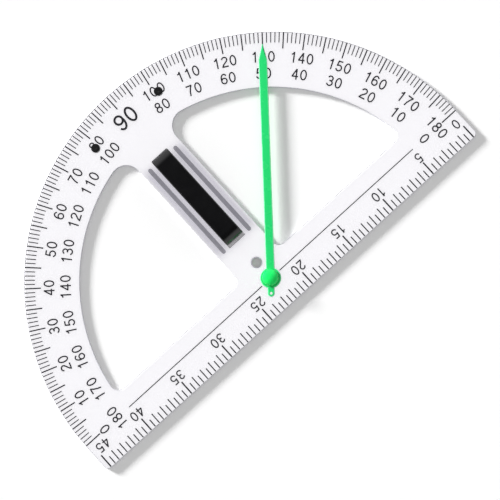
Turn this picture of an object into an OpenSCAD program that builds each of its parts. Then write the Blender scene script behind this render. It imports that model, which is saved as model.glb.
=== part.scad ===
// Blackboard protractor: a clear half-round plate with a printed scale, a black handle on the
// web, two magnets that hold it to a steel board, and a green pointer that turns about the
// centre of the degree scale.
//
// The protractor lies on its back with the scale upwards. The origin is the centre of the
// degree scale, on the plate's back face. +X runs along the centre line towards 0 degrees on
// the inner row, and +Y points to 90 degrees.

/* [Plate] */
// Radius of the curved rim
rim_r = 230; // [227:1:236]
// Thickness of the clear plate
plate_t = 4; // [3.5:0.5:5]
// Height of the straight strip below the centre line
strip_h = 30; // [29:1:36]
// Corner radius at both ends of the straight edge
strip_corner_r = 5; // [1:1:8]

/* [Openings] */
// Radius of the curved side of both openings
opening_r = 178; // [170:1:181]
// Straight side of the openings, above the centre line
opening_y = 16.5; // [14:0.5:20]
// Width of the web between the openings
web_w = 47.5; // [44:0.5:56]
// Corner radius where the web meets the curved band
web_corner_r = 15.5; // [8:0.5:24]
// Corner radius of the two lower corners of an opening
low_corner_r = 8; // [4:1:12]

/* [Web] */
// Distance of each stiffening rib from the middle of the web
rib_x = 15.8; // [14:0.1:18]
// Width of a rib
rib_w = 3.6; // [2:0.2:5]
// Height of a rib above the plate
rib_h = 1.2; // [0.6:0.1:1.2]
// Diameter of the hanging hole
hang_d = 9; // [7:0.5:10]
// Middle of the hanging hole, above the centre line
hang_y = 20; // [20:0.5:24]

/* [Handle] */
// Length of the handle over both legs
handle_l = 106; // [100:1:112]
// Width of the handle
handle_w = 19.5; // [18:0.5:22]
// Height of the handle above the plate
handle_h = 30; // [26:1:34]
// Middle of the handle, above the centre line
handle_y = 99; // [98:1:104]
// Thickness of the bar that the fingers hold
bar_t = 9; // [7:0.5:10]
// Thickness of a leg at its foot
leg_t = 12; // [10:0.5:14]
// Radius of the outer bend between bar and leg
bend_r = 10; // [6:0.5:12]
// Rounding along the long top edges
edge_r = 1.25; // [1:0.25:3]

/* [Magnets] */
// Distance of each magnet from the middle line
magnet_x = 39.4; // [36:0.2:44]
// Height of the magnets above the centre line
magnet_y = 200.8; // [197:0.2:203]
// Diameter of the black plug that holds a magnet
plug_d = 8.4; // [8:0.2:9]
// Diameter of a magnet
magnet_d = 7; // [5:0.5:7]
// Thickness of a magnet
magnet_t = 3; // [2:0.25:3]

/* [Pointer] */
// Direction in which the pointer is set, in degrees on the inner row
pointer_angle = 50; // [0:1:70]
// Distance of the pointer's tip from the pivot
pointer_l = 218; // [208:1:224]
// Width of the blade
blade_w = 8; // [6:0.5:9]
// Length of the tapered tip
tip_l = 15; // [8:1:20]
// Thickness of the pointer
pointer_t = 2; // [1.5:0.25:3]
// Diameter of the round hub
hub_d = 19.5; // [17:0.5:20]
// Reach of the tail behind the pivot
tail_l = 17.5; // [15:0.5:17.5]
// Width of the tail
tail_w = 6.6; // [5:0.2:8]
// Diameter of the hole in the tail
tail_hole_d = 2.5; // [2:0.5:3.5]

/* [Pivot] */
// Diameter of the pivot screw
pivot_d = 5; // [4:0.5:5]
// Height of the nylon spacer under the pointer
spacer_t = 1.45; // [1.45:0.05:2]
// Diameter of the spacer
spacer_d = 14; // [11:1:16]
// Width of the nut across its flats
nut_af = 8; // [8:0.5:8]
// Height of the nut
nut_t = 3.5; // [3:0.25:4]
// Diameter of the round cap over the nut
cap_d = 15; // [14:0.5:18.5]
// Height of the cap's straight side
cap_side_h = 4.25; // [3.75:0.25:5]
// Rise of the cap's domed top
cap_dome_h = 2; // [1.5:0.1:3]

/* [Printed scale] */
// Thickness of the printed ink
ink_t = 0.15; // [0.1:0.05:0.2]
// Length of a one-degree mark
degree_mark_l = 10; // [8:0.5:11]
// Length of a five-degree mark
five_degree_mark_l = 15.5; // [14:0.5:16]
// Radius of the middle of the outer row of numbers
outer_row_r = 206.5; // [205:0.5:207]
// Radius of the middle of the inner row of numbers
inner_row_r = 191; // [188:0.5:193]
// Height of the numbers in both rows
row_number_h = 10.2; // [8:0.1:10.5]
// Radius of the middle of the large number at the top
top_number_r = 202.5; // [200:0.5:204]
// Height of the large number at the top
top_number_h = 16; // [14:0.5:17]
// Highest number of the centimetre scale
scale_cm = 45; // [40:5:45]
// Length of a half-centimetre mark
half_cm_mark_l = 8.2; // [6:0.2:9]
// Length of a one-centimetre mark
cm_mark_l = 11; // [9:0.5:12]
// Length of a five-centimetre mark
five_cm_mark_l = 14; // [13:0.5:15]
// Height of the centimetre numbers
cm_number_h = 9.5; // [8:0.5:9.5]
// Reach of the centre line to each side
centre_line_x = 176.5; // [172:0.5:180]

/* [Hidden] */

// Resolution of round shapes, and the small overlap that a cutter runs past a face
$fn = 96;
cut = 0.1;

// Levels of the parts that are stacked on the pivot. The screw ends a little above the nut,
// and the cap stays clear of the pointer.
pointer_gap = 0.05;
screw_above_nut = 0.5;
cap_gap = 0.4;
pointer_z = plate_t + spacer_t + pointer_gap;
pointer_top_z = pointer_z + pointer_t;
washer_z = pointer_top_z + pointer_gap;
washer_h = 0.8;
nut_z = washer_z + washer_h;
screw_end_z = nut_z + nut_t + screw_above_nut;
cap_z = pointer_top_z + cap_gap;
cap_top_z = cap_z + cap_side_h + cap_dome_h;

// Running clearance of the pointer's bore round the pivot screw
running_gap = 0.05;

// Countersunk screws: radius of the shank, and of the head at the plate's back face. Their
// cone has 90 degrees.
pivot_r = pivot_d / 2;
pivot_head_r = 4.6;
handle_screw_r = 2;
handle_head_r = 4;
hole_gap = 0.1;

// Threaded inserts in the handle's feet. A screw stops a little short of the insert's end.
insert_r = 2.8;
insert_l = 8;
screw_short = 1;
handle_screw_end_z = plate_t + insert_l - screw_short;
foot_y = handle_l / 2 - leg_t / 2;

// Printed lines: their widths on the degree scale and on the centimetre scale, the bare margin
// outside them, and the gap between a line and the number or hub that it runs up to
fine_line = 0.9;
bold_line = 1.2;
fine_cm_line = 1.1;
bold_cm_line = 1.4;
rim_margin = 0.4;
line_gap = 1;

// Degree mark at both ends of the centre line, which stops at the outer row of numbers
end_mark_l = rim_r - rim_margin - outer_row_r - row_number_h / 2 - line_gap;

// Middle of the centimetre numbers, just above the longest marks, and the bare margin that
// keeps the first and the last of them inside the plate's corners
cm_number_y = -strip_h + rim_margin + five_cm_mark_l + line_gap + cm_number_h / 2;
cm_number_margin = 6;

// Digits 0 to 9 on a grid 6 wide and 10 high: an outline, then the holes in it
digit_w = 6;
digit_h = 10;
digit_step = 7.6;
six = [[[1.7, 0], [4.4, 0], [6, 1.6], [6, 4.6], [4.4, 6.2], [1.5, 6.2], [1.5, 7.8], [2.2, 8.5],
        [3.8, 8.5], [4.4, 7.9], [5.9, 7.9], [5.9, 8.4], [4.4, 10], [1.6, 10], [0, 8.3], [0, 1.7]],
       [[2.2, 1.5], [3.8, 1.5], [4.5, 2.2], [4.5, 4.1], [3.9, 4.7], [2.1, 4.7], [1.5, 4.1],
        [1.5, 2.2]]];
nine = [for (loop = six) [for (p = loop) [digit_w - p[0], digit_h - p[1]]]];
digits = [
    [[[1.8, 0], [4.2, 0], [6, 1.8], [6, 8.2], [4.2, 10], [1.8, 10], [0, 8.2], [0, 1.8]],
     [[2.4, 1.5], [3.6, 1.5], [4.5, 2.4], [4.5, 7.6], [3.6, 8.5], [2.4, 8.5], [1.5, 7.6],
      [1.5, 2.4]]],
    [[[2.6, 0], [4.1, 0], [4.1, 10], [3.1, 10], [0.8, 8.6], [0.8, 7], [2.6, 8]]],
    [[[0, 0], [6, 0], [6, 1.5], [2.2, 1.5], [5.5, 5], [6, 6.4], [6, 8.2], [4.4, 10], [1.6, 10],
      [0, 8.4], [0, 7.2], [1.5, 7.2], [1.5, 7.8], [2.2, 8.5], [3.8, 8.5], [4.5, 7.8],
      [4.5, 6.6], [4.2, 6], [0, 1.6]]],
    [[[1.6, 0], [4.4, 0], [6, 1.6], [6, 4.2], [5.1, 5.1], [6, 6], [6, 8.4], [4.4, 10],
      [1.6, 10], [0, 8.6], [0, 7.6], [1.5, 7.6], [1.5, 7.9], [2.1, 8.5], [3.9, 8.5],
      [4.5, 7.9], [4.5, 6.5], [3.8, 5.8], [2.2, 5.8], [2.2, 4.4], [3.8, 4.4], [4.5, 3.7],
      [4.5, 2.1], [3.9, 1.5], [2.1, 1.5], [1.5, 2.1], [1.5, 2.6], [0, 2.6], [0, 1.5]]],
    [[[3.6, 0], [5.1, 0], [5.1, 2.3], [6, 2.3], [6, 3.7], [5.1, 3.7], [5.1, 10], [3.6, 10],
      [0, 3.9], [0, 2.3], [3.6, 2.3]],
     [[1.7, 3.7], [3.6, 3.7], [3.6, 7]]],
    [[[1.6, 0], [4.4, 0], [6, 1.6], [6, 4.9], [4.4, 6.5], [1.9, 6.5], [2.1, 8.5], [5.5, 8.5],
      [5.5, 10], [0.9, 10], [0.3, 4.7], [1.8, 4.7], [2.2, 5], [3.9, 5], [4.5, 4.4],
      [4.5, 2.1], [3.9, 1.5], [2.1, 1.5], [1.5, 2.1], [1.5, 2.6], [0, 2.6], [0, 1.5]]],
    six,
    [[[1.5, 0], [3.1, 0], [6, 8.5], [6, 10], [0, 10], [0, 8.5], [4.4, 8.5]]],
    [[[1.6, 0], [4.4, 0], [6, 1.6], [6, 4.2], [5.2, 5.1], [5.8, 5.8], [5.8, 8.5], [4.3, 10],
      [1.7, 10], [0.2, 8.5], [0.2, 5.8], [0.8, 5.1], [0, 4.2], [0, 1.6]],
     [[2.2, 1.5], [3.8, 1.5], [4.5, 2.2], [4.5, 3.7], [3.8, 4.4], [2.2, 4.4], [1.5, 3.7],
      [1.5, 2.2]],
     [[2.3, 5.8], [3.7, 5.8], [4.3, 6.4], [4.3, 7.9], [3.7, 8.5], [2.3, 8.5], [1.7, 7.9],
      [1.7, 6.4]]],
    nine];

// Reference points of the right-hand opening: the centre of each corner arc
web_x = web_w / 2;
top_corner = [web_x + web_corner_r,
              sqrt(pow(opening_r - web_corner_r, 2) - pow(web_x + web_corner_r, 2))];
outer_corner = [sqrt(pow(opening_r - low_corner_r, 2) - pow(opening_y + low_corner_r, 2)),
                opening_y + low_corner_r];
inner_corner = [web_x + low_corner_r, opening_y + low_corner_r];

// Outline of the plate without its openings: a half disc on a straight strip
module plate_outline() {
    intersection() {
        circle(r = rim_r, $fn = 360);
        translate([-rim_r, 0]) square([2 * rim_r, rim_r]);
    }
    translate([-rim_r, -strip_h + strip_corner_r]) square([2 * rim_r, strip_h - strip_corner_r]);
    translate([-rim_r + strip_corner_r, -strip_h])
        square([2 * (rim_r - strip_corner_r), strip_corner_r]);
    for (side = [-1, 1])
        translate([side * (rim_r - strip_corner_r), -strip_h + strip_corner_r])
            circle(r = strip_corner_r);
}

// Right-hand opening: a quarter of a disc whose sharp corners are cut off, and filled again
// with the discs that round them
module opening() {
    past = 1;
    reach = 1.05;
    top_touch = top_corner * opening_r / (opening_r - web_corner_r);
    outer_touch = outer_corner * opening_r / (opening_r - low_corner_r);
    difference() {
        intersection() {
            circle(r = opening_r, $fn = 360);
            translate([web_x, opening_y]) square(opening_r);
        }
        polygon([top_corner, [web_x - past, top_corner[1]], [web_x - past, opening_r * reach],
                 top_touch * reach]);
        polygon([outer_corner, [outer_corner[0], opening_y - past],
                 [opening_r * reach, opening_y - past], outer_touch * reach]);
        translate([web_x - past, opening_y - past]) square(low_corner_r + past);
    }
    translate(top_corner) circle(r = web_corner_r);
    translate(outer_corner) circle(r = low_corner_r);
    translate(inner_corner) circle(r = low_corner_r);
}

// Stiffening rib with round ends, as long as the handle
module rib() {
    half_l = handle_l / 2 - rib_w / 2;
    linear_extrude(rib_h) {
        translate([-rib_w / 2, -half_l]) square([rib_w, 2 * half_l]);
        for (end = [-1, 1])
            translate([0, end * half_l]) circle(d = rib_w);
    }
}

// Hole with a countersink that opens on the plate's back face
module countersunk_hole(shank_r, head_r) {
    r = shank_r + hole_gap;
    translate([0, 0, -cut]) cylinder(r = r, h = plate_t + 2 * cut);
    translate([0, 0, -cut])
        cylinder(r1 = head_r + hole_gap + cut, r2 = r, h = head_r - shank_r + cut);
}

// Countersunk screw that points up from the back face, with a cross recess in its head
module countersunk_screw(shank_r, head_r, end_z) {
    slot_w = 1;
    slot_l = 1.1 * head_r;
    slot_h = 1.3;
    head_h = head_r - shank_r;
    difference() {
        union() {
            cylinder(r1 = head_r, r2 = shank_r, h = head_h);
            cylinder(r = shank_r, h = end_z);
        }
        for (turn = [0, 90])
            rotate([0, 0, turn]) translate([-slot_l / 2, -slot_w / 2, -cut])
                cube([slot_l, slot_w, slot_h + cut]);
    }
}

module plate() {
    color([0.93, 0.93, 0.97, 0.45])
    difference() {
        union() {
            linear_extrude(plate_t) difference() {
                plate_outline();
                opening();
                mirror([1, 0]) opening();
            }
            for (side = [-1, 1])
                translate([side * rib_x, handle_y, plate_t]) rib();
        }
        countersunk_hole(pivot_r, pivot_head_r);
        for (side = [-1, 1])
            translate([0, handle_y + side * foot_y, 0])
                countersunk_hole(handle_screw_r, handle_head_r);
        for (side = [-1, 1])
            translate([side * magnet_x, magnet_y, -cut])
                cylinder(d = plug_d, h = plate_t + 2 * cut);
        translate([0, hang_y, -cut]) cylinder(d = hang_d, h = plate_t + 2 * cut);
    }
}

// One mark of the printed scale, drawn from its outer end inwards along -X
module mark(l, w) {
    translate([-l, -w / 2, 0]) cube([l, w, ink_t]);
}

// One digit, with its lower left corner at the origin
module digit(n) {
    difference() {
        polygon(digits[n][0]);
        for (hole = [1 : 1 : len(digits[n]) - 1])
            polygon(digits[n][hole]);
    }
}

function digits_of(n) =
    n < 10 ? [n] : n < 100 ? [floor(n / 10), n % 10] : [floor(n / 100), floor(n / 10) % 10, n % 10];

function number_width(n, h) = (digit_w + digit_step * (len(digits_of(n)) - 1)) * h / digit_h;

// Number of up to three digits, centred on the origin and h high
module number(n, h) {
    shown = digits_of(n);
    translate([-number_width(n, h) / 2, -h / 2, 0])
        linear_extrude(ink_t) scale(h / digit_h)
            for (i = [0 : len(shown) - 1])
                translate([digit_step * i, 0]) digit(shown[i]);
}

// Number in one of the rows, at an angle from +X, with its top towards the rim
module row_number(n, a, r, h) {
    rotate([0, 0, a - 90]) translate([0, r, 0]) number(n, h);
}

function degree_mark_length(a) =
    a % 180 == 0 ? end_mark_l : a % 5 == 0 ? five_degree_mark_l : degree_mark_l;

function cm_mark_length(halves) =
    halves % 10 == 0 ? five_cm_mark_l : halves % 2 == 0 ? cm_mark_l : half_cm_mark_l;

module printed_scale() {
    line_start = hub_d / 2 + line_gap;
    color([0.1, 0.1, 0.12])
    translate([0, 0, plate_t]) {
        for (a = [0 : 180])
            rotate([0, 0, a]) translate([rim_r - rim_margin, 0, 0])
                mark(degree_mark_length(a), a % 5 == 0 ? bold_line : fine_line);
        for (i = [0 : 2 * scale_cm])
            translate([5 * (scale_cm - i), -strip_h + rim_margin, 0])
                rotate([0, 0, -90])
                    mark(cm_mark_length(i), i % 10 == 0 ? bold_cm_line : fine_cm_line);
        for (side = [-1, 1])
            translate([side > 0 ? centre_line_x : -line_start, 0, 0])
                mark(centre_line_x - line_start, fine_line);
        row_number(90, 90, top_number_r, top_number_h);
        for (a = [0 : 10 : 180])
            if (a != 90) row_number(a, a, inner_row_r, row_number_h);
        for (a = [0 : 10 : 180])
            if (a != 90) difference() {
                row_number(180 - a, a, outer_row_r, row_number_h);
                if (abs(a - 90) == 10) for (side = [-1, 1])
                    translate([side * magnet_x, magnet_y, -cut])
                        cylinder(d = plug_d + 2 * hole_gap, h = ink_t + 2 * cut);
            }
        for (cm = [0 : 5 : scale_cm]) {
            reach = rim_r - cm_number_margin - number_width(cm, cm_number_h) / 2;
            x = 5 * scale_cm - 10 * cm;
            translate([min(max(x, -reach), reach), cm_number_y, 0])
                rotate([0, 0, 180]) number(cm, cm_number_h);
        }
    }
}

// Side view of the handle, drawn with the plate's face at height zero: a bridge on two legs
module handle_side() {
    inner_l = handle_l - 2 * leg_t;
    inner_h = handle_h - bar_t;
    inner_r = 6;
    difference() {
        union() {
            translate([-handle_l / 2, 0]) square([handle_l, handle_h - bend_r]);
            translate([-handle_l / 2 + bend_r, 0]) square([handle_l - 2 * bend_r, handle_h]);
            for (end = [-1, 1])
                translate([end * (handle_l / 2 - bend_r), handle_h - bend_r])
                    circle(r = bend_r);
        }
        translate([-inner_l / 2, -cut]) square([inner_l, inner_h - inner_r + cut]);
        translate([-inner_l / 2 + inner_r, -cut])
            square([inner_l - 2 * inner_r, inner_h + cut]);
        for (end = [-1, 1])
            translate([end * (inner_l / 2 - inner_r), inner_h - inner_r])
                circle(r = inner_r);
    }
}

// End view of the handle, with both long top edges rounded
module handle_end() {
    translate([-handle_w / 2, 0]) square([handle_w, handle_h - edge_r]);
    translate([-handle_w / 2 + edge_r, 0]) square([handle_w - 2 * edge_r, handle_h]);
    for (side = [-1, 1])
        translate([side * (handle_w / 2 - edge_r), handle_h - edge_r]) circle(r = edge_r);
}

module handle() {
    color([0.05, 0.05, 0.06])
    translate([0, handle_y, plate_t])
    difference() {
        intersection() {
            rotate([90, 0, 90]) translate([0, 0, -handle_w / 2])
                linear_extrude(handle_w) handle_side();
            rotate([90, 0, 0]) translate([0, 0, -handle_l / 2])
                linear_extrude(handle_l) handle_end();
        }
        for (side = [-1, 1])
            translate([0, side * foot_y, -cut]) cylinder(r = insert_r, h = insert_l + cut);
    }
}

module handle_insert(side) {
    color([0.75, 0.6, 0.3])
    translate([0, handle_y + side * foot_y, plate_t])
    difference() {
        cylinder(r = insert_r, h = insert_l);
        translate([0, 0, -cut]) cylinder(r = handle_screw_r, h = insert_l + 2 * cut);
    }
}

module handle_screw(side) {
    color([0.7, 0.7, 0.72])
    translate([0, handle_y + side * foot_y, 0])
        countersunk_screw(handle_screw_r, handle_head_r, handle_screw_end_z);
}

// Black plug, closed at the front with a small dimple and open at the back for its magnet
module magnet_plug(side) {
    proud = 0.3;
    pocket_h = magnet_t + 0.2;
    dimple_r = 1.2;
    dimple_floor_r = 0.3;
    dimple_h = 0.4;
    color([0.06, 0.06, 0.07])
    translate([side * magnet_x, magnet_y, 0])
    difference() {
        cylinder(d = plug_d, h = plate_t + proud);
        translate([0, 0, -cut]) cylinder(d = magnet_d, h = pocket_h + cut);
        translate([0, 0, plate_t + proud - dimple_h])
            cylinder(r1 = dimple_floor_r, r2 = dimple_r, h = dimple_h + cut);
    }
}

module magnet(side) {
    color([0.3, 0.3, 0.32])
    translate([side * magnet_x, magnet_y, 0]) cylinder(d = magnet_d, h = magnet_t);
}

// Outline of the pointer along +X: blade and tip, round hub, and a tail with a small hole
module pointer_outline() {
    tip_x = pointer_l - tip_l;
    tip_end_w = 1;
    difference() {
        union() {
            circle(d = hub_d);
            polygon([[0, -blade_w / 2], [tip_x, -blade_w / 2], [pointer_l, -tip_end_w / 2],
                     [pointer_l, tip_end_w / 2], [tip_x, blade_w / 2], [0, blade_w / 2]]);
            translate([-tail_l + tail_w / 2, -tail_w / 2])
                square([tail_l - tail_w / 2, tail_w]);
            translate([-tail_l + tail_w / 2, 0]) circle(d = tail_w);
        }
        circle(r = pivot_r + running_gap);
        translate([-tail_l + tail_w / 2, 0]) circle(d = tail_hole_d);
    }
}

module pointer() {
    color([0.1, 0.85, 0.4])
    translate([0, 0, pointer_z]) rotate([0, 0, pointer_angle])
        linear_extrude(pointer_t) pointer_outline();
}

module pivot_screw() {
    color([0.7, 0.7, 0.72])
        countersunk_screw(pivot_r, pivot_head_r, screw_end_z);
}

module pivot_spacer() {
    color([0.92, 0.92, 0.9])
    translate([0, 0, plate_t])
    difference() {
        cylinder(d = spacer_d, h = spacer_t);
        translate([0, 0, -cut]) cylinder(r = pivot_r + hole_gap, h = spacer_t + 2 * cut);
    }
}

// Conical spring washer that keeps a light pressure on the pointer
module spring_washer() {
    inner_r = pivot_r + hole_gap;
    outer_r = 5;
    sheet_t = 0.4;
    color([0.6, 0.6, 0.63])
    translate([0, 0, washer_z])
        rotate_extrude()
            polygon([[outer_r, 0], [outer_r, sheet_t], [inner_r, washer_h],
                     [inner_r, washer_h - sheet_t]]);
}

module pivot_nut() {
    color([0.7, 0.7, 0.72])
    translate([0, 0, nut_z])
    difference() {
        cylinder(r = nut_af / 2 / cos(30), h = nut_t, $fn = 6);
        translate([0, 0, -cut]) cylinder(r = pivot_r, h = nut_t + 2 * cut);
    }
}

// Domed cap, pressed over the nut
module pivot_cap() {
    cap_r = cap_d / 2;
    dome_r = (cap_r * cap_r + cap_dome_h * cap_dome_h) / (2 * cap_dome_h);
    washer_room_r = 5.4;
    nut_room_z = screw_end_z + 0.2;
    color([0.05, 0.95, 0.4])
    difference() {
        intersection() {
            translate([0, 0, cap_z]) cylinder(r = cap_r, h = cap_top_z - cap_z);
            translate([0, 0, cap_top_z - dome_r]) sphere(r = dome_r);
        }
        translate([0, 0, cap_z - cut]) cylinder(r = washer_room_r, h = nut_z - cap_z + cut);
        translate([0, 0, cap_z])
            cylinder(r = nut_af / 2 / cos(30), h = nut_room_z - cap_z, $fn = 6);
    }
}

plate();
printed_scale();
handle();
handle_insert(-1);  // handle_insert_lower
handle_insert(1);  // handle_insert_upper
handle_screw(-1);  // handle_screw_lower
handle_screw(1);  // handle_screw_upper
magnet_plug(-1);  // magnet_plug_left
magnet_plug(1);  // magnet_plug_right
magnet(-1);  // magnet_left
magnet(1);  // magnet_right
pointer();
pivot_screw();
pivot_spacer();
spring_washer();
pivot_nut();
pivot_cap();
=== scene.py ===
"""Blackboard protractor: the looks of every piece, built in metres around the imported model."""

import math

import bmesh
import bpy
from mathutils import Matrix, Vector
from mathutils.geometry import delaunay_2d_cdt


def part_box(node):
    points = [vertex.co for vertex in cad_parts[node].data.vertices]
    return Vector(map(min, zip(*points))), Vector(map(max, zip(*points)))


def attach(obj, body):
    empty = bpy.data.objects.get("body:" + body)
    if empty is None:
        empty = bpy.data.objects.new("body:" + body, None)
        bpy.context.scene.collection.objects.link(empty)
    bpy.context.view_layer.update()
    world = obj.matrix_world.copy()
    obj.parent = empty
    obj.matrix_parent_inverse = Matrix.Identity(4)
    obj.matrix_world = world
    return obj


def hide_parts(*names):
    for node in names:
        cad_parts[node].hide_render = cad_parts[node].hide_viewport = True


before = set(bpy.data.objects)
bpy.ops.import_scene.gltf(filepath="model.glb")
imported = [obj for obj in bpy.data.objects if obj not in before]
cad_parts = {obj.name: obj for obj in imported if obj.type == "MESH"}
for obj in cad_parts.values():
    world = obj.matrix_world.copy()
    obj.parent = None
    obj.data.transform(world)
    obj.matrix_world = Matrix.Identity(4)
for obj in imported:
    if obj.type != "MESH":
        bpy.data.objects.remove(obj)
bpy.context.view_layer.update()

# Clear plate: one sheet of cast acrylic, milled to a half disc on a straight strip and left
# frosted at its edges. Two D-shaped openings leave the web that carries the handle, and two
# low ribs beside the handle stiffen the web.
MM = 0.001
plate_low, plate_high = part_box("plate")
plate_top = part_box("printed_scale")[0].z
rim_r = plate_high.x
strip_h = -plate_low.y
strip_corner_r = 5 * MM
opening_r = 178 * MM
opening_y = 16.5 * MM
web_x = 23.75 * MM
web_corner_r = 15.5 * MM
low_corner_r = 8 * MM
edge_r = 0.35 * MM
drilled_edge_r = 0.9 * MM

# Chords leave their arc by ARC_ERROR at most, and a sharp corner moves by at most twice the
# distance that its lines move.
ARC_ERROR = 0.01 * MM
SAME_POINT = 0.1 * ARC_ERROR
MITRE_LIMIT = 0.5
ROUND_STEPS = 3


def arc(centre, r, start, end):
    """Points on an arc between two angles in degrees, so close that their chords hug it."""
    step = 2 * math.degrees(math.acos(1 - ARC_ERROR / r))
    count = max(2, math.ceil(abs(end - start) / step))
    angles = [math.radians(start + (end - start) * i / count) for i in range(count + 1)]
    return [Vector((centre[0] + r * math.cos(a), centre[1] + r * math.sin(a))) for a in angles]


def closed(*stretches):
    """One closed loop from stretches of points, with no point twice in a row."""
    points = [Vector(p) for stretch in stretches for p in stretch]
    return [p for i, p in enumerate(points) if (p - points[i - 1]).length > SAME_POINT]


def leftwards(before, here, after, distance):
    """The step of a corner when both lines that meet in it move to their left."""
    arriving = (here - before).normalized()
    leaving = (after - here).normalized()
    left = Vector((-arriving.y - leaving.y, arriving.x + leaving.x)).normalized()
    return left * distance / max(MITRE_LIMIT, left.dot(Vector((-arriving.y, arriving.x))))


def inset(loop, distance):
    """The loop moved to the left of its own direction, which is into the material."""
    moved = []
    for i, p in enumerate(loop):
        moved.append(p + leftwards(loop[i - 1], p, loop[(i + 1) % len(loop)], distance))
    return moved


def rounded_top(z, r):
    """Profile of a wall's rounded top edge: distances into the material, and heights."""
    turns = [math.pi / 2 * i / ROUND_STEPS for i in range(ROUND_STEPS + 1)]
    return [(r * (1 - math.cos(t)), z - r * (1 - math.sin(t))) for t in turns]


def rounded_wall(low, high, r):
    """Profile of a wall with both edges rounded, from its foot to its top."""
    foot = [(d, low + high - z) for d, z in reversed(rounded_top(high, r))]
    return foot + rounded_top(high, r)


def wall(mesh, loop, profile):
    """Sweeps a profile along a loop, and returns its first and last ring of points."""
    rings = []
    for distance, z in profile:
        rings.append([mesh.verts.new((p.x, p.y, z)) for p in inset(loop, distance)])
    for a, b in zip(rings, rings[1:]):
        for i in range(len(loop)):
            mesh.faces.new((a[i - 1], a[i], b[i], b[i - 1]))
    return rings[0], rings[-1]


def fill(mesh, rings):
    """Closes the flat face between an outer ring and the rings of its holes."""
    edges = []
    for ring in rings:
        for a, b in zip(ring, ring[1:] + ring[:1]):
            edges.append(mesh.edges.get((a, b)) or mesh.edges.new((a, b)))
    bmesh.ops.triangle_fill(mesh, use_beauty=True, edges=edges)


def placed(name, data):
    """A new object in the scene."""
    made = bpy.data.objects.new(name, data)
    bpy.context.scene.collection.objects.link(made)
    return made


def shown(name, mesh, sharp=25):
    """Turns a bmesh into a named piece that is smooth where it turns by less than sharp.

    Its normals are weighted by area, so that a flat face stays flat up to its rounded edge.
    """
    bmesh.ops.recalc_face_normals(mesh, faces=mesh.faces)
    data = bpy.data.meshes.new(name)
    mesh.to_mesh(data)
    mesh.free()
    data.polygons.foreach_set("use_smooth", [True] * len(data.polygons))
    data.set_sharp_from_angle(angle=math.radians(sharp))
    piece = placed(name, data)
    piece.modifiers.new("weighted_normals", "WEIGHTED_NORMAL").keep_sharp = True
    return piece


outline = closed(
    arc((0, 0), rim_r, 0, 180),
    arc((strip_corner_r - rim_r, strip_corner_r - strip_h), strip_corner_r, 180, 270),
    arc((rim_r - strip_corner_r, strip_corner_r - strip_h), strip_corner_r, 270, 360),
)

# Corner arcs of the right-hand opening. Each one touches the lines or the arc beside it.
inner_corner = Vector((web_x + low_corner_r, opening_y + low_corner_r))
outer_corner = inner_corner.copy()
outer_corner.x = math.sqrt((opening_r - low_corner_r) ** 2 - outer_corner.y**2)
top_corner = Vector((web_x + web_corner_r, 0))
top_corner.y = math.sqrt((opening_r - web_corner_r) ** 2 - top_corner.x**2)
outer_angle = math.degrees(math.atan2(outer_corner.y, outer_corner.x))
top_angle = math.degrees(math.atan2(top_corner.y, top_corner.x))
right_opening = closed(
    arc(inner_corner, low_corner_r, 180, 270),
    arc(outer_corner, low_corner_r, 270, 360 + outer_angle),
    arc((0, 0), opening_r, outer_angle, top_angle),
    arc(top_corner, web_corner_r, top_angle, 180),
)
left_opening = [Vector((-p.x, p.y)) for p in right_opening]

# Bored holes: those of the pivot and of both handle screws are countersunk from the back.
handle_low, handle_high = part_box("handle")
handle_y = (handle_low.y + handle_high.y) / 2
handle_l = handle_high.y - handle_low.y
insert_low, insert_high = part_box("handle_insert_upper")
foot_y = (insert_low.y + insert_high.y) / 2 - handle_y
plug_low, plug_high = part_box("magnet_plug_right")
plug_centre = (plug_low + plug_high) / 2
plug_r = (plug_high.x - plug_low.x) / 2
pivot_r = 2.5 * MM
pivot_head_r = 4.6 * MM
handle_screw_r = 2 * MM
handle_head_r = 4 * MM
hole_gap = 0.1 * MM
hang_y = 20 * MM
hang_r = 4.5 * MM


def hole(centre, r):
    """A round hole's loop. It runs clockwise, so that the material is on its left."""
    return closed(arc(centre, r, 360, 0))


def countersunk(shank_r, head_r):
    """Profile of a countersunk hole's wall, from the back face up."""
    depth = head_r - shank_r
    return [(depth, 0), (0, depth)] + rounded_top(plate_top, edge_r)


def finish_new_faces(mesh, number):
    """Gives a finish, by its number, to all faces that still have the first one."""
    for face in mesh.faces:
        face.material_index = face.material_index or number


body = bmesh.new()
edge = rounded_wall(0, plate_top, edge_r)
walls = [wall(body, loop, edge) for loop in (outline, right_opening[::-1], left_opening)]
finish_new_faces(body, 1)
drilled_edge = rounded_wall(0, plate_top, drilled_edge_r)
walls.append(wall(body, hole((0, hang_y), hang_r), drilled_edge))
finish_new_faces(body, 2)

# Ribs: long ovals with a satin skin that rise from the face, with a small fillet at the foot
rib_x = 15.8 * MM
rib_r = 1.8 * MM
rib_edge_r = 0.5 * MM
rib_fillet = 0.25 * MM
fillet_middle = 0.3 * rib_fillet
rib_reach = handle_l / 2 - rib_r
rib_foot = [(-rib_fillet, 0), (-fillet_middle, fillet_middle), (0, rib_fillet)]
rib_profile = [(distance, plate_top + z) for distance, z in rib_foot]
rib_profile += rounded_top(plate_high.z, rib_edge_r)
rib_feet = []
for side in (-1, 1):
    rib = closed(
        arc((side * rib_x, handle_y + rib_reach), rib_r, 0, 180),
        arc((side * rib_x, handle_y - rib_reach), rib_r, 180, 360),
    )
    foot, crest = wall(body, rib, rib_profile)
    fill(body, [crest])
    rib_feet.append(foot)
finish_new_faces(body, 3)

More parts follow.
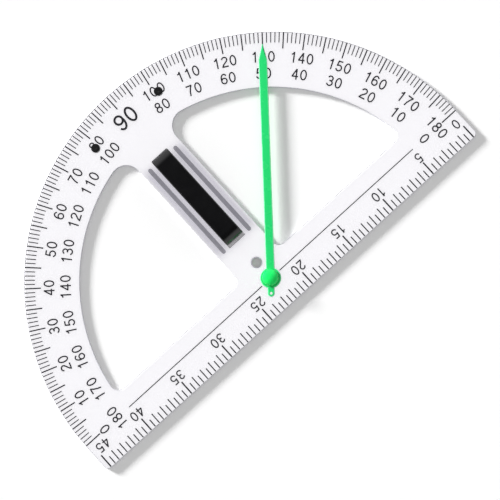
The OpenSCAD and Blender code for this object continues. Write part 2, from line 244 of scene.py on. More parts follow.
cuts = [(hole((0, 0), pivot_r + hole_gap), countersunk(pivot_r, pivot_head_r))]
for side in (-1, 1):
    cuts.append((hole((side * plug_centre.x, plug_centre.y), plug_r), edge))
    bore = hole((0, handle_y + side * foot_y), handle_screw_r + hole_gap)
    cuts.append((bore, countersunk(handle_screw_r, handle_head_r)))
walls += [wall(body, loop, profile) for loop, profile in cuts]
fill(body, [low for low, high in walls])
fill(body, [high for low, high in walls] + rib_feet)
plate = shown("clear_plate", body)


def linear(colour):
    """An sRGB hex colour as linear red, green, blue and alpha."""
    parts = [int(colour[i : i + 2], 16) / 255 for i in (1, 3, 5)]
    return [c / 12.92 if c <= 0.04045 else ((c + 0.055) / 1.055) ** 2.4 for c in parts] + [1]


def add(tree, kind, settings, links):
    """Adds a node. Each link is a socket to join to that input, or a plain value for it."""
    made = tree.nodes.new(kind)
    for name, value in settings.items():
        setattr(made, name, value)
    for name, value in links.items():
        if isinstance(value, bpy.types.NodeSocket):
            tree.links.new(value, made.inputs[name])
        else:
            made.inputs[name].default_value = value
    return made


# The inputs of a Mix node go by number: 0 is the share, 2 and 3 are the numbers to mix, and
# 6 and 7 the colours. A SOFT Map Range eases in and out. Noise seldom leaves its two levels.
MIX_COLOURS = {"data_type": "RGBA"}
SOFT = {"interpolation_type": "SMOOTHSTEP"}
NOISE_LOW = 0.3
NOISE_HIGH = 0.7


def bare_material(name):
    """A new material, its empty tree, and the point on the piece in metres."""
    made = bpy.data.materials.new(name)
    made.use_nodes = True
    made.node_tree.nodes.clear()
    place = add(made.node_tree, "ShaderNodeTexCoord", {}, {}).outputs["Object"]
    return made, made.node_tree, place


def cloudy(tree, place, size, low, high, detail=2):
    """A random pattern of soft spots of a size in metres, in two hex colours or two numbers."""
    scale = {"Vector": place, "Scale": 1 / size, "Detail": detail}
    noise = add(tree, "ShaderNodeTexNoise", {}, scale).outputs["Fac"]
    levels = {"Value": noise, "From Min": NOISE_LOW, "From Max": NOISE_HIGH}
    if not isinstance(low, str):
        levels.update({"To Min": low, "To Max": high})
        return add(tree, "ShaderNodeMapRange", {}, levels).outputs["Result"]
    share = add(tree, "ShaderNodeMapRange", {}, levels).outputs["Result"]
    colours = {0: share, 6: linear(low), 7: linear(high)}
    return add(tree, "ShaderNodeMix", MIX_COLOURS, colours).outputs[2]


def surface(tree, **sockets):
    """Closes a material's tree: a shader with these sockets, joined to the output."""
    links = {name.replace("_", " "): value for name, value in sockets.items()}
    shader = add(tree, "ShaderNodeBsdfPrincipled", {}, links)
    add(tree, "ShaderNodeOutputMaterial", {}, {"Surface": shader.outputs["BSDF"]})


# Cast acrylic, polished: almost no colour of its own. The eye reads it by its edges, by a
# mirror-like gloss, and by faint smears 40 mm wide where hands have wiped it. Beside the
# handle the web has a satin finish with soft ends. A light smoke grey is also painted there
# as painted shade, standing for the handle's shadow on the web.
SATIN_ROUGHNESS = 0.2
satin_and_shade_half_w = 20 * MM
satin_and_shade_half_l = 44 * MM
satin_and_shade_fade_w = 6 * MM
satin_and_shade_fade_l = 16 * MM
acrylic, tree, place = bare_material("clear_cast_acrylic")
to_handle = {0: place, 1: (0, handle_y, 0)}
offset = add(tree, "ShaderNodeVectorMath", {"operation": "SUBTRACT"}, to_handle).outputs[0]
distance = add(tree, "ShaderNodeVectorMath", {"operation": "ABSOLUTE"}, {0: offset}).outputs[0]
apart = add(tree, "ShaderNodeSeparateXYZ", {}, {"Vector": distance}).outputs
satin_and_shade = 1
for axis, full, fade in (("X", satin_and_shade_half_w, satin_and_shade_fade_w), ("Y", satin_and_shade_half_l, satin_and_shade_fade_l)):
    fall = {"Value": apart[axis], "From Min": full, "From Max": full + fade}
    fall.update({"To Min": satin_and_shade, "To Max": 0})
    satin_and_shade = add(tree, "ShaderNodeMapRange", SOFT, fall).outputs["Result"]
# Painted shade: the web darkens to smoke grey around the handle, where the handle's shadow falls
painted_shade_tints = {0: satin_and_shade, 6: linear("#FCFBFE"), 7: linear("#D9D7DF")}
smears = cloudy(tree, place, 40 * MM, 0.01, 0.05, detail=3)
dulling = {0: satin_and_shade, 1: SATIN_ROUGHNESS, 2: smears}
surface(
    tree,
    Base_Color=add(tree, "ShaderNodeMix", MIX_COLOURS, painted_shade_tints).outputs[2],
    IOR=1.49,
    Transmission_Weight=1,
    Roughness=add(tree, "ShaderNodeMath", {"operation": "MULTIPLY_ADD"}, dulling).outputs[0],
)

# Milled edges of the rim and of the openings: the cutter leaves the acrylic frosted, so they
# look white, with faint patches 4 mm long where it chattered.
frosted, tree, place = bare_material("milled_acrylic_edge")
surface(
    tree,
    Base_Color=cloudy(tree, place, 4 * MM, "#E2E1E8", "#F0EFF5"),
    IOR=1.49,
    Roughness=cloudy(tree, place, 1 * MM, 0.45, 0.6),
)

# Drilled wall of the hanging hole: the drill leaves it satin. Its smoke grey with a bluish
# cast is painted shade, for the shadow that falls inside the hole.
drilled, tree, place = bare_material("drilled_acrylic_painted_shade")
surface(
    tree,
    Base_Color=cloudy(tree, place, 3 * MM, "#92909B", "#A09EA8"),
    IOR=1.49,
    Transmission_Weight=1,
    Roughness=cloudy(tree, place, 1 * MM, 0.3, 0.45),
)

# Satin skin of the ribs, faintly clouded. Their dark grey is painted shade: it stands for the
# handle's shadow falling on the web beside it.
ribbed, tree, place = bare_material("satin_acrylic_rib_painted_shade")
surface(
    tree,
    Base_Color=cloudy(tree, place, 3 * MM, "#5B5A62", "#67666E"),
    IOR=1.49,
    Transmission_Weight=1,
    Roughness=cloudy(tree, place, 1 * MM, 0.3, 0.45),
)
for finish in (acrylic, frosted, drilled, ribbed):
    plate.data.materials.append(finish)
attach(plate, "base")
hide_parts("plate")

# Printed scale: degree marks, centimetre marks and numbers, screen-printed in one pass of
# dark ink on the plate's front. Every fifth mark is longer and bolder, and the two rows of
# numbers run opposite ways.
ink_overlap = 0.02 * MM
ink_low = plate_top - ink_overlap
ink_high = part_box("printed_scale")[1].z
fine_line = 0.9 * MM
bold_line = 1.2 * MM
fine_cm_line = 1.1 * MM
bold_cm_line = 1.4 * MM
rim_margin = 0.4 * MM
line_gap = 1 * MM
degree_mark_l = 10 * MM
five_degree_mark_l = 15.5 * MM
row_number_h = 10.2 * MM
outer_row_r = 206.5 * MM
inner_row_r = 191 * MM
end_mark_l = rim_r - rim_margin - outer_row_r - row_number_h / 2 - line_gap


def mark(mesh, end, direction, length, width):
    """A straight printed line from its outer end, as a thin block."""
    along = Vector(direction).normalized()
    across = Vector((-along.y, along.x)) * width / 2
    tail = end + along * length
    corners = [end + across, end - across, tail - across, tail + across]
    low, high = [[mesh.verts.new((p.x, p.y, z)) for p in corners] for z in (ink_low, ink_high)]
    mesh.faces.new(low)
    mesh.faces.new(high)
    for i in range(4):
        mesh.faces.new((low[i - 1], low[i], high[i], high[i - 1]))


def towards(angle):
    """The direction from the centre of the scale to one of its degrees."""
    return Vector((math.cos(math.radians(angle)), math.sin(math.radians(angle))))


degree_lines = bmesh.new()
for angle in range(181):
    length = five_degree_mark_l if angle % 5 == 0 else degree_mark_l
    if angle % 180 == 0:
        length = end_mark_l
    width = bold_line if angle % 5 == 0 else fine_line
    outwards = towards(angle)
    mark(degree_lines, outwards * (rim_r - rim_margin), -outwards, length, width)

SCALE_CM = 45
half_cm = 5 * MM
half_cm_mark_l = 8.2 * MM
cm_mark_l = 11 * MM
five_cm_mark_l = 14 * MM
cm_lines = bmesh.new()
for half in range(2 * SCALE_CM + 1):
    length = cm_mark_l if half % 2 == 0 else half_cm_mark_l
    if half % 10 == 0:
        length = five_cm_mark_l
    width = bold_cm_line if half % 10 == 0 else fine_cm_line
    foot = Vector((half_cm * (SCALE_CM - half), rim_margin - strip_h))
    mark(cm_lines, foot, (0, 1), length, width)

hub_r = 9.75 * MM
centre_line_x = 176.5 * MM
for side in (-1, 1):
    start = Vector((side * centre_line_x, 0))
    mark(cm_lines, start, (-side, 0), centre_line_x - hub_r - line_gap, fine_line)

# Digits are drawn with strokes of one width on a grid 6.2 wide and 10 high. A part of a
# stroke is a point, or an ellipse's centre, both radii and two angles in degrees. A stroke
# whose ends lie within CLOSED_GAP is a ring, and points within JOIN_GAP become one.
DIGIT_W = 6.2
DIGIT_H = 10
DIGIT_STEP = 7.7
STROKE = 1.3
CURVE_STEP = 12
CLOSED_GAP = 0.01
JOIN_GAP = 0.001
six = [[(3.15, 3.15, 2.4, 2.5, 0, 360)], [(3.3, 5, 2.65, 4.35, 195, 38)]]
nine = [
    [(DIGIT_W - x, DIGIT_H - y, rx, ry, a + 180, b + 180) for x, y, rx, ry, a, b in stroke]
    for stroke in six
]
strokes = [
    [[(3.1, 5, 2.45, 4.35, 0, 360)]],
    [[(3.75, 0), (3.75, 10)], [(1.3, 10.3, 2.4, 2.65, -90, -18)]],
    [
        [(3.05, 7.15, 2.3, 2.2, 175, -35), (4.2, 4.95), (2.6, 3.5), (1.35, 2.2), (0.68, 0.6)],
        [(0, 0.65), (6, 0.65)],
    ],
    [[(2.9, 7.2, 2.1, 2.15, 165, -90)], [(2.9, 3, 2.45, 2.35, 90, -165)], [(2.1, 5.2), (3, 5.2)]],
    [[(4.35, 0), (4.35, 10)], [(4.3, 9.6), (0.5, 3)], [(0.1, 2.95), (6.1, 2.95)]],
    [[(1.3, 9.35), (5.5, 9.35)], [(1.7, 9.9), (1, 4.8)], [(2.95, 3.25, 2.5, 2.6, 138, -165)]],
    six,
    [[(0.3, 9.35), (5.95, 9.35)], [(5.6, 9.4), (4.1, 6.9), (2.8, 3.6), (2.15, 0)]],
    [[(3.1, 7.45, 2, 1.95, 0, 360)], [(3.1, 2.95, 2.4, 2.35, 0, 360)]],
    nine,
]


def middle_line(parts):
    """Points along the middle of one stroke, with one more past each end to aim by."""
    line = []
    for part in parts:
        if len(part) == 2:
            line.append(Vector(part))
            continue
        x, y, rx, ry, start, end = part
        count = math.ceil(abs(end - start) / CURVE_STEP)
        for i in range(count + 1):
            a = math.radians(start + (end - start) * i / count)
            line.append(Vector((x + rx * math.cos(a), y + ry * math.sin(a))))
    if (line[0] - line[-1]).length < CLOSED_GAP:
        return [line[-2]] + line + [line[1]]
    return [2 * line[0] - line[1]] + line + [2 * line[-1] - line[-2]]


def digit_shape(parts):
    """A digit's flat shape with its strokes joined: points, triangles and outline edges."""
    points = []
    quads = []
    for part in parts:
        line = middle_line(part)
        for i in range(1, len(line) - 1):
            across = leftwards(line[i - 1], line[i], line[i + 1], STROKE / 2)
            points += [line[i] + across, line[i] - across]
            n = len(points)
            if i > 1:
                quads.append((n - 4, n - 3, n - 1, n - 2))
    points, _, faces, _, _, covering = delaunay_2d_cdt(points, [], quads, 0, JOIN_GAP)
    triangles = [face for face, strips in zip(faces, covering) if strips]
    sides = [(face[i - 1], face[i]) for face in triangles for i in range(3)]
    return points, triangles, [side for side in sides if side[::-1] not in sides]


shapes = [digit_shape(parts) for parts in strokes]


def number_width(value, height):
    """Width of a number that is height high."""
    return (DIGIT_W + DIGIT_STEP * (len(str(value)) - 1)) * height / DIGIT_H


def number(mesh, value, height, centre, turn):
    """A number as thin blocks, turned about its middle by an angle in degrees."""
    scale = height / DIGIT_H
    corner = Vector((-number_width(value, height), -height)) / 2
    turning = Matrix.Rotation(math.radians(turn), 2)
    for i, digit in enumerate(str(value)):
        points, triangles, sides = shapes[int(digit)]
        start = corner + Vector((i * DIGIT_STEP * scale, 0))
        spots = [turning @ (start + p * scale) + Vector(centre) for p in points]
        low, high = [[mesh.verts.new((p.x, p.y, z)) for p in spots] for z in (ink_low, ink_high)]
        for face in triangles:
            mesh.faces.new([high[k] for k in face])
            mesh.faces.new([low[k] for k in reversed(face)])
        for a, b in sides:
            mesh.faces.new((high[b], high[a], low[a], low[b]))


top_number_r = 202.5 * MM
top_number_h = 16 * MM
cm_number_h = 9.5 * MM
cm_number_y = rim_margin - strip_h + five_cm_mark_l + line_gap + cm_number_h / 2
cm_number_margin = 6 * MM
numbers = bmesh.new()
number(numbers, 90, top_number_h, (0, top_number_r), 0)
for angle in range(0, 181, 10):
    if angle != 90:
        number(numbers, angle, row_number_h, towards(angle) * inner_row_r, angle - 90)
        number(numbers, 180 - angle, row_number_h, towards(angle) * outer_row_r, angle - 90)
for cm in range(0, SCALE_CM + 1, 5):
    reach = rim_r - cm_number_margin - number_width(cm, cm_number_h) / 2
    x = min(max(half_cm * (SCALE_CM - 2 * cm), -reach), reach)
    number(numbers, cm, cm_number_h, (x, cm_number_y), 180)
bmesh.ops.delete(numbers, geom=[v for v in numbers.verts if not v.link_faces], context="VERTS")

# Screen-printed ink, near black and matt. Its film is a little thinner in places, which the
# eye sees as faint greyer spots; the spots are drawn 2 mm wide, coarser than real ones.
ink, tree, place = bare_material("screen_printed_black_ink")
surface(
    tree,
    Base_Color=cloudy(tree, place, 2 * MM, "#1E1E22", "#2C2C31"),
    Roughness=cloudy(tree, place, 5 * MM, 0.45, 0.65),
    Specular_IOR_Level=0.3,
)
prints = {"degree_marks": degree_lines, "centimetre_marks": cm_lines, "scale_numbers": numbers}
for name, mesh in prints.items():
    printed = shown(name, mesh)
    printed.data.materials.append(ink)
    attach(printed, "base")
    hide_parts("printed_scale")

# Magnet plugs: two cups of black plastic, moulded with a small dimple in the front and
# pressed into the plate near 80 and 100 degrees. Each holds a ferrite disc that lies flush
# with the plate's back.
magnet_low, magnet_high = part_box("magnet_right")
magnet_r = (magnet_high.x - magnet_low.x) / 2
pocket_gap = 0.2 * MM
pocket_top = magnet_high.z + pocket_gap
plug_edge_r = 0.25 * MM
dimple_r = 1.2 * MM
dimple_floor_r = 0.3 * MM
dimple_depth = 0.4 * MM
dimple_floor = plug_high.z - dimple_depth
small_r = 0.1 * MM


def rounded(corners):
    """A closed loop through corners, each with its x, y and radius."""
    stretches = []
    for i, (x, y, r) in enumerate(corners):
        corner = Vector((x, y))
        if r == 0:
            stretches.append([corner])
            continue
        before = (Vector(corners[i - 1][:2]) - corner).normalized()
        after = (Vector(corners[(i + 1) % len(corners)][:2]) - corner).normalized()
        half = before.angle(after) / 2
        centre = corner + (before + after).normalized() * r / math.sin(half)
        first = corner + before * r / math.tan(half) - centre
        last = corner + after * r / math.tan(half) - centre
        start = math.degrees(math.atan2(first.y, first.x))
        stretches.append(arc(centre, r, start, start - math.degrees(first.angle_signed(last))))
    return closed(*stretches)


def turned(mesh, centre, profile):
    """Spins a closed profile of radii and heights about an upright axis."""
    widest = max(r for r, z in profile)
    circle = closed(arc((0, 0), widest, 0, 360))
    rings = []
    for r, z in profile:
        if r < ARC_ERROR:
            rings.append([mesh.verts.new((centre[0], centre[1], z))] * len(circle))
        else:
            spots = [Vector(centre) + p * r / widest for p in circle]
            rings.append([mesh.verts.new((p.x, p.y, z)) for p in spots])
    for a, b in zip(rings, rings[1:] + rings[:1]):
        for i in range(len(circle)):
            corners = list(dict.fromkeys((a[i - 1], a[i], b[i], b[i - 1])))
            if len(corners) > 2:
                mesh.faces.new(corners)


# The cup's profile in radii and heights, with the dimple above and the magnet's pocket below
cup = rounded(
    [
        (magnet_r, 0, 0),
        (plug_r, 0, small_r),
        (plug_r, plug_high.z, plug_edge_r),
        (dimple_r, plug_high.z, small_r),
        (dimple_floor_r, dimple_floor, small_r),
        (0, dimple_floor, 0),
        (0, pocket_top, 0),
        (magnet_r, pocket_top, 0),
    ]
)


def grained(tree, place, size, depth):
    """The surface's direction with a random relief, its bumps of a size and a depth in metres."""
    relief = {"Height": cloudy(tree, place, size, 0, 1), "Distance": depth}
    return add(tree, "ShaderNodeBump", {}, relief).outputs["Normal"]


# Moulded polypropylene, black with a satin skin. The mould's grain, 0.2 mm in life and drawn
# 0.5 mm, breaks up its highlight.
satin_black, tree, place = bare_material("moulded_black_polypropylene")
surface(
    tree,
    Base_Color=cloudy(tree, place, 4 * MM, "#08080A", "#111113"),
    Roughness=cloudy(tree, place, 3 * MM, 0.38, 0.52),
    IOR=1.49,
    Normal=grained(tree, place, 0.5 * MM, 0.03 * MM),
)
for side, name in ((-1, "left"), (1, "right")):
    mesh = bmesh.new()
    turned(mesh, (side * plug_centre.x, plug_centre.y), cup)
    plug = shown(f"black_plug_{name}", mesh, 35)
    plug.data.materials.append(satin_black)
    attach(plug, "base")
    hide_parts(f"magnet_plug_{name}")

# Sintered ferrite, ground flat: a dark grey ceramic that glints less than metal. The grinding
# scratches are drawn 0.42 mm apart, coarser than real ones. At a scale of 1, a wave texture's
# bands lie GROOVES apart, and diagonal ones on a flat face the root of 2 times as far.
GROOVES = math.pi / 10
scratch_gap = 0.42 * MM
ferrite, tree, place = bare_material("ground_ferrite")
diagonal = {"wave_type": "BANDS", "bands_direction": "DIAGONAL"}
scratches = {"Vector": place, "Scale": math.sqrt(2) * GROOVES / scratch_gap}
scratches.update({"Distortion": 3, "Detail": 3})
scratched = add(tree, "ShaderNodeTexWave", diagonal, scratches).outputs["Fac"]
greys = {0: scratched, 6: linear("#3A3A3D"), 7: linear("#4D4D51")}
scored = {"Height": scratched, "Distance": 0.02 * MM}
surface(
    tree,
    Base_Color=add(tree, "ShaderNodeMix", MIX_COLOURS, greys).outputs[2],
    Roughness=cloudy(tree, place, 1 * MM, 0.45, 0.65),
    Normal=add(tree, "ShaderNodeBump", {}, scored).outputs["Normal"],
)
for name in ("magnet_left", "magnet_right"):
    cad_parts[name].material_slots[0].material = ferrite

# Handle: one bow of black ABS, injection-moulded, on two feet. Its long edges are rounded
# for the fingers, and the rounding runs out towards the feet. A screw from the plate's back
# pulls each foot down by the brass insert pressed into it.
foot_l = 12 * MM
bar_t = 9 * MM
handle_w = handle_high.x - handle_low.x
handle_h = handle_high.z - plate_top
gap_l = handle_l - 2 * foot_l
gap_h = handle_h - bar_t
bend_r = 10 * MM
inner_bend_r = 6 * MM
grip_edge_r = 1.25 * MM
foot_edge_r = 0.3 * MM
ground = 0.01 * foot_edge_r
insert_r = (insert_high.x - insert_low.x) / 2
GRIP_STEPS = 5

# The handle's side view: distances along it from its middle, and heights over the plate
bow = rounded(
    [
        (-handle_l / 2, 0, foot_edge_r),
        (-gap_l / 2, 0, foot_edge_r),
        (-gap_l / 2, gap_h, inner_bend_r),
        (gap_l / 2, gap_h, inner_bend_r),
        (gap_l / 2, 0, foot_edge_r),
        (handle_l / 2, 0, foot_edge_r),
        (handle_l / 2, handle_h, bend_r),
        (-handle_l / 2, handle_h, bend_r),
    ]
)

# The side view goes across the handle ring by ring, drawn in where the edges are rounded
inwards = [q - p for p, q in zip(bow, inset(bow, 1))]
mesh = bmesh.new()
rings = []
for side, steps in ((-1, range(GRIP_STEPS, -1, -1)), (1, range(GRIP_STEPS + 1))):
    for step in steps:
        turn = math.pi / 2 * step / GRIP_STEPS
        ring = []
        for p, inward in zip(bow, inwards):
            share = min(1, max(0, p.y) / (gap_h - inner_bend_r))
            r = foot_edge_r + (grip_edge_r - foot_edge_r) * share
            spot = p + inward * r * (1 - math.cos(turn))
            x = side * (handle_w / 2 - r * (1 - math.sin(turn)))
            ring.append(mesh.verts.new((x, handle_y + spot.x, plate_top + spot.y)))
        rings.append(ring)
for i, p in enumerate(bow):
    if max(p.y, bow[i - 1].y) > ground:
        for a, b in zip(rings, rings[1:]):
            mesh.faces.new((a[i - 1], a[i], b[i], b[i - 1]))
        continue
    # A foot's underside, with the bore for its insert
    bore = hole((0, handle_y + math.copysign(foot_y, p.x)), insert_r)
    heights = (plate_top, insert_high.z)
    mouth, floor = [[mesh.verts.new((q.x, q.y, z)) for q in bore] for z in heights]
    for k in range(len(bore)):
        mesh.faces.new((mouth[k - 1], mouth[k], floor[k], floor[k - 1]))
    mesh.faces.new(floor)
    fill(mesh, [[ring[i - 1] for ring in rings] + [ring[i] for ring in rings[::-1]], mouth])
fill(mesh, [rings[0]])
fill(mesh, [rings[-1]])
handle = shown("black_handle", mesh, 30)

# Moulded ABS from a polished tool: deep black and glossy, with a faint ripple 6 mm across
# and slightly softer patches where fingers have dulled it.
glossy_black, tree, place = bare_material("moulded_black_abs")
surface(
    tree,
    Base_Color=cloudy(tree, place, 12 * MM, "#08080A", "#0E0E10"),
    Roughness=cloudy(tree, place, 15 * MM, 0.2, 0.26),
    IOR=1.52,
    Normal=grained(tree, place, 6 * MM, 0.01 * MM),
)
handle.data.materials.append(glossy_black)
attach(handle, "base")
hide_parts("handle")

# Handle inserts: two threaded bushes turned from brass bar, and pressed into the feet from
# below. The eye sees warm yellow metal with tool rings, which are drawn 0.4 mm apart.
tool_ring_gap = 0.4 * MM
brass, tree, place = bare_material("turned_brass")
upright = {"wave_type": "BANDS", "bands_direction": "Z"}
tool_rings = {"Vector": place, "Scale": GROOVES / tool_ring_gap, "Distortion": 0.5}
ringed = add(tree, "ShaderNodeTexWave", upright, tool_rings).outputs["Fac"]
scored = {"Height": ringed, "Distance": 0.02 * MM}
surface(
    tree,
    Base_Color=cloudy(tree, place, 2 * MM, "#B08D45", "#D0AE62"),
    Metallic=1,
    Roughness=cloudy(tree, place, 1 * MM, 0.25, 0.4),
    Normal=add(tree, "ShaderNodeBump", {}, scored).outputs["Normal"],
)
for name in ("handle_insert_lower", "handle_insert_upper"):
    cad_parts[name].material_slots[0].material = brass

# Screws and nut: three countersunk steel screws, driven in from the plate's back, and the nut
# that holds the pointer on the middle one. Their zinc plating looks bright and bluish, and a
# little cloudy from the bath.
zinc, tree, place = bare_material("zinc_plated_steel")
surface(
    tree,
    Base_Color=cloudy(tree, place, 1.5 * MM, "#B4B7BD", "#CED0D4"),
    Metallic=1,
    Roughness=cloudy(tree, place, 0.8 * MM, 0.22, 0.38),
)
for name in ("handle_screw_lower", "handle_screw_upper", "pivot_screw", "pivot_nut"):
    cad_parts[name].material_slots[0].material = zinc

# Pivot spacer: a disc of natural nylon, punched from sheet, that lifts the pointer off the
# print. Milky white and a little waxy, with soft clouding.
nylon, tree, place = bare_material("natural_nylon")
surface(
    tree,
    Base_Color=cloudy(tree, place, 3 * MM, "#E0DED6", "#F0EEE8"),
    Roughness=cloudy(tree, place, 2 * MM, 0.4, 0.55),
    IOR=1.53,
)
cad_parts["pivot_spacer"].material_slots[0].material = nylon

# Pointer: one strip of fluorescent green acrylic, laser-cut with its round hub, its tapered
# tip and a short tail. It turns on the pivot screw, and the small hole in the tail takes a
# pencil point.
pointer_low, pointer_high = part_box("pointer")
POINTER_ANGLE = 50
pointer_l = 218 * MM
blade_r = 4 * MM
tip_l = 15 * MM
tip_r = 0.5 * MM
tail_end = 17.5 * MM
tail_r = 3.3 * MM
tail_hole_r = 1.25 * MM
pointer_bore_r = 2.55 * MM
cut_edge_r = 0.8 * MM
bored_edge_r = 0.2 * MM
blade_angle = math.degrees(math.asin(blade_r / hub_r))
tail_angle = 180 - math.degrees(math.asin(tail_r / hub_r))
tail_centre = (tail_r - tail_end, 0)
taper_angle = 90 - math.degrees(math.atan2(blade_r - tip_r, tip_l))

# The pointer is drawn along +X and turned to its angle at the end
silhouette = closed(
    [(pointer_l - tip_l, -blade_r)],
    arc((pointer_l - tip_r, 0), tip_r, -taper_angle, taper_angle),
    [(pointer_l - tip_l, blade_r)],
    arc((0, 0), hub_r, blade_angle, tail_angle),
    arc(tail_centre, tail_r, 90, 270),
    arc((0, 0), hub_r, 360 - tail_angle, 360 - blade_angle),
)
mesh = bmesh.new()
walls = [wall(mesh, silhouette, rounded_wall(pointer_low.z, pointer_high.z, cut_edge_r))]
finish_new_faces(mesh, 1)
bored = rounded_wall(pointer_low.z, pointer_high.z, bored_edge_r)
for loop in (hole((0, 0), pointer_bore_r), hole(tail_centre, tail_hole_r)):
    walls.append(wall(mesh, loop, bored))
fill(mesh, [low for low, high in walls])
fill(mesh, [high for low, high in walls])
turning = Matrix.Rotation(math.radians(POINTER_ANGLE), 3, "Z")
bmesh.ops.rotate(mesh, matrix=turning, verts=mesh.verts)
pointer = shown("green_pointer", mesh)

# Fluorescent acrylic: the dye gathers light inside the sheet and lets it out at the cut
# edges, so they look brighter than the faces; that glow is painted into the edges as a
# lighter green. The faces are faintly clouded from casting.
green_face, tree, place = bare_material("fluorescent_green_acrylic")
surface(
    tree,
    Base_Color=cloudy(tree, place, 25 * MM, "#22DE74", "#28E27A"),
    Roughness=cloudy(tree, place, 10 * MM, 0.22, 0.3),
    IOR=1.49,
)
green_edge_painted_glow, tree, place = bare_material("fluorescent_green_cut_edge")
surface(
    tree,
    Base_Color=cloudy(tree, place, 5 * MM, "#6CF6A6", "#8CFFBE"),
    Roughness=cloudy(tree, place, 2 * MM, 0.15, 0.3),
    IOR=1.49,
)
pointer.data.materials.append(green_face)
pointer.data.materials.append(green_edge_painted_glow)
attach(pointer, "pointer")
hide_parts("pointer")

# Spring washer: bare spring steel, pressed from strip and lightly oiled, held down by the
# plated nut. Darker than the nut, with a thin brown cast in places.
spring, tree, place = bare_material("oiled_spring_steel")
surface(
    tree,
    Base_Color=cloudy(tree, place, 2 * MM, "#7E7B78", "#9C9B9C"),
    Metallic=1,
    Roughness=cloudy(tree, place, 1 * MM, 0.28, 0.42),
)
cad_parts["spring_washer"].material_slots[0].material = spring

# Pivot cap: a domed button of bright green ABS, moulded hollow for the washer and the nut,
# and pressed over the nut. Its foot stays clear of the pointer.
cap_low, cap_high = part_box("pivot_cap")
nut_low, nut_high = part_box("pivot_nut")
cap_r = cap_high.x
cap_side_h = 4.25 * MM
cap_side_top = cap_low.z + cap_side_h
cap_edge_r = 1 * MM
cap_foot_r = 0.3 * MM
washer_room_r = 5.4 * MM
nut_room_r = nut_high.x + hole_gap
nut_room_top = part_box("pivot_screw")[1].z + 2 * hole_gap
SHOULDER_STEPS = 5

# The cap's profile in radii and heights: foot and side, a curve into the dome, and the inside
dome_h = cap_high.z - cap_side_top
dome_r = (cap_r**2 + dome_h**2) / (2 * dome_h)
lip = math.degrees(math.asin((cap_r - cap_edge_r) / dome_r))
dome = arc((0, cap_high.z - dome_r), dome_r, 90 - lip, 90)
side_end = Vector((cap_r, cap_side_top - cap_edge_r))
corner = Vector((cap_r, cap_side_top))
shoulder = []
for i in range(SHOULDER_STEPS):
    t = i / SHOULDER_STEPS
    shoulder.append(side_end * (1 - t) ** 2 + corner * 2 * t * (1 - t) + dome[0] * t**2)
foot = rounded(
    [(washer_room_r, cap_low.z, 0), (cap_r, cap_low.z, cap_foot_r), (cap_r, cap_side_top, 0)]
)
inside = [
    (0, nut_room_top),
    (nut_room_r, nut_room_top),
    (nut_room_r, nut_low.z),
    (washer_room_r, nut_low.z),
]
mesh = bmesh.new()
turned(mesh, (0, 0), closed(foot[:-1], shoulder, dome, inside))
cap = shown("green_cap", mesh, 35)

# Moulded ABS, bright green and glossy. The skin is even, with a slight ripple 2 mm across.
bright_green, tree, place = bare_material("moulded_green_abs")
surface(
    tree,
    Base_Color=cloudy(tree, place, 6 * MM, "#06F566", "#14FF74"),
    Roughness=cloudy(tree, place, 4 * MM, 0.22, 0.34),
    IOR=1.52,
    Normal=grained(tree, place, 2 * MM, 0.01 * MM),
)
cap.data.materials.append(bright_green)
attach(cap, "base")
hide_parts("pivot_cap")

# Floor: a wide white sheet that keeps the object's shadow. Away from the object it turns to
# plain white for every ray that the eye follows.
floor_drop = 0.2 * MM
floor_half = 4000 * MM
shadow_reach = 300 * MM
white_from = 600 * MM
middle = (plate_low + plate_high) / 2
mesh = bmesh.new()
corners = []
for x, y in ((-1, -1), (1, -1), (1, 1), (-1, 1)):
    corners.append(mesh.verts.new((x * floor_half, y * floor_half, -floor_drop)))
mesh.faces.new(corners)
sheet = shown("floor_sheet", mesh)
paper, tree, place = bare_material("white_paper_floor")


def followed(tree):
    """1 where the eye's ray arrives unscattered: mirrored, through a clear piece, and at all."""
    path = add(tree, "ShaderNodeLightPath", {}, {}).outputs
    depth = {0: path["Diffuse Depth"], 1: 0.5}
    fresh = add(tree, "ShaderNodeMath", {"operation": "LESS_THAN"}, depth).outputs[0]
    arrived = {}
    seen = 0
    for kind in ("Camera", "Glossy", "Transmission"):
        ray = {0: fresh, 1: path[f"Is {kind} Ray"]}
        arrived[kind] = add(tree, "ShaderNodeMath", {"operation": "MULTIPLY"}, ray).outputs[0]
        total = {0: seen, 1: arrived[kind]}
        seen = add(tree, "ShaderNodeMath", {"operation": "ADD"}, total).outputs[0]
    return arrived["Glossy"], arrived["Transmission"], seen


# The renderer loses the lamps' light under clear pieces, so the floor seen through them
# gets that share as glow.
GLOW = 0.12
GLOW_THROUGH = 0.72
white = linear("#FFFFFF")
mirrored, through, seen = followed(tree)
lift = add(tree, "ShaderNodeMath", {"operation": "MULTIPLY"}, {0: seen, 1: GLOW}).outputs[0]
under = {0: through, 1: GLOW_THROUGH - GLOW, 2: lift}
lift = add(tree, "ShaderNodeMath", {"operation": "MULTIPLY_ADD"}, under).outputs[0]
lit = add(tree, "ShaderNodeBsdfDiffuse", {}, {"Color": linear("#F1F1F1")}).outputs[0]
glow = add(tree, "ShaderNodeEmission", {}, {"Color": white, "Strength": lift}).outputs[0]
near = add(tree, "ShaderNodeAddShader", {}, {0: lit, 1: glow}).outputs[0]
far = add(tree, "ShaderNodeEmission", {}, {"Color": white, "Strength": seen}).outputs[0]
to_middle = {0: place, 1: middle}
distance = add(tree, "ShaderNodeVectorMath", {"operation": "DISTANCE"}, to_middle).outputs["Value"]
fall = {"Value": distance, "From Min": shadow_reach, "From Max": white_from}
fall.update({"To Min": 1, "To Max": 0})
nearby = add(tree, "ShaderNodeMapRange", SOFT, fall).outputs["Result"]
mixed = add(tree, "ShaderNodeMixShader", {}, {0: nearby, 1: far, 2: near}).outputs[0]
add(tree, "ShaderNodeOutputMaterial", {}, {"Surface": mixed})
sheet.data.materials.append(paper)

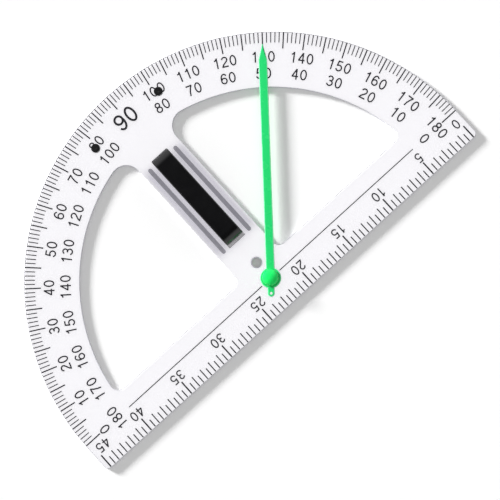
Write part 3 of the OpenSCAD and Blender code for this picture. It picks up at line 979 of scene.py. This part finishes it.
# Room: even white walls. Mirror-like surfaces see it white near the horizon and dark overhead,
# as under a black studio ceiling that comes down lower on the viewer's side, so that black
# plastic stays black.
AMBIENT = 0.41
CEILING = 0.05
CEILING_TILT = math.radians(30)
OVERHEAD = (0.45, 0.75)
VIEWER_SIDE = (0.1, 0.8)
room = bpy.data.worlds.new("white_room")
bpy.context.scene.world = room
room.use_nodes = True
tree = room.node_tree
tree.nodes.clear()
mirrored, through, seen = followed(tree)
way = add(tree, "ShaderNodeTexCoord", {}, {}).outputs["Generated"]
above = {0: way, 1: (0, -math.sin(CEILING_TILT), math.cos(CEILING_TILT))}
tilted = add(tree, "ShaderNodeVectorMath", {"operation": "DOT_PRODUCT"}, above).outputs["Value"]
height = add(tree, "ShaderNodeSeparateXYZ", {}, {"Vector": way}).outputs["Z"]
dimmed = CEILING
for value, (white_to, dark_from) in ((height, OVERHEAD), (tilted, VIEWER_SIDE)):
    fall = {"Value": value, "From Min": white_to, "From Max": dark_from}
    fall.update({"To Min": 1, "To Max": dimmed})
    dimmed = add(tree, "ShaderNodeMapRange", SOFT, fall).outputs["Result"]
direct = add(tree, "ShaderNodeMix", {}, {0: mirrored, 2: 1, 3: dimmed}).outputs[0]
strength = add(tree, "ShaderNodeMix", {}, {0: seen, 2: AMBIENT, 3: direct}).outputs[0]
air = add(tree, "ShaderNodeBackground", {}, {"Color": white, "Strength": strength}).outputs[0]
add(tree, "ShaderNodeOutputWorld", {}, {"Surface": air})

# Lamps: two wide softboxes on either side, and a low one far behind the top of the rim. The
# low one throws a soft shadow across the openings and past the straight edge, as the drop
# shadow in the photograph does. That has no handle in it, so the handle doesn't block it.
softbox_x = 900 * MM
softbox_z = 1000 * MM
softbox_w = 800 * MM
SOFTBOX_POWER = 0.5
LOW_LAMP_POWER = 5.8
LOW_LAMP_SPREAD = math.radians(11.5)
LOW_LAMP_TILT = math.radians(-71.8)
LOW_LAMP_TURN = math.radians(17)
for name, side in (("left_softbox", -1), ("right_softbox", 1)):
    light = bpy.data.lights.new(name, "AREA")
    light.size = softbox_w
    light.energy = SOFTBOX_POWER
    lamp = placed(name, light)
    lamp.location = (side * softbox_x, middle.y, softbox_z)
    lamp.rotation_euler = (middle - lamp.location).to_track_quat("-Z", "Y").to_euler()
    lamp.visible_camera = False
light = bpy.data.lights.new("low_lamp", "SUN")
light.angle = LOW_LAMP_SPREAD
light.energy = LOW_LAMP_POWER
lamp = placed("low_lamp", light)
lamp.rotation_euler = (LOW_LAMP_TILT, 0, LOW_LAMP_TURN)

# It leaves no highlight and doesn't shine through the plate's edges, so that the shadow beside
# them stays dark.
lamp.visible_glossy = False
lamp.visible_transmission = False
blockers = bpy.data.collections.new("low_lamp_blockers")
for piece in (plate, pointer, cap):
    blockers.objects.link(piece)
lamp.light_linking.blocker_collection = blockers

# Camera: nearly overhead, with a long lens from far away, as in the photograph. It is turned
# so that the straight edge climbs to the upper right.
TURN = math.radians(42.28)
TILT = math.radians(8)
LENS = 200
view_w = 461.6 * MM
aim_x = 3.2 * MM
aim_y = 33 * MM
across = Vector((1, 0, 0))
away = Vector((0, math.cos(TILT), math.sin(TILT)))
back = Vector((0, -math.sin(TILT), math.cos(TILT)))
right = across * math.cos(TURN) - away * math.sin(TURN)
up = across * math.sin(TURN) + away * math.cos(TURN)
optics = bpy.data.cameras.new("camera")
optics.lens = LENS
camera = placed("camera", optics)
spot = Vector((aim_x, aim_y, 0)) + back * view_w * LENS / optics.sensor_width
camera.matrix_world = Matrix.Translation(spot) @ Matrix((right, up, back)).transposed().to_4x4()
bpy.context.scene.camera = camera

bpy.context.scene.view_settings.view_transform = "Standard"
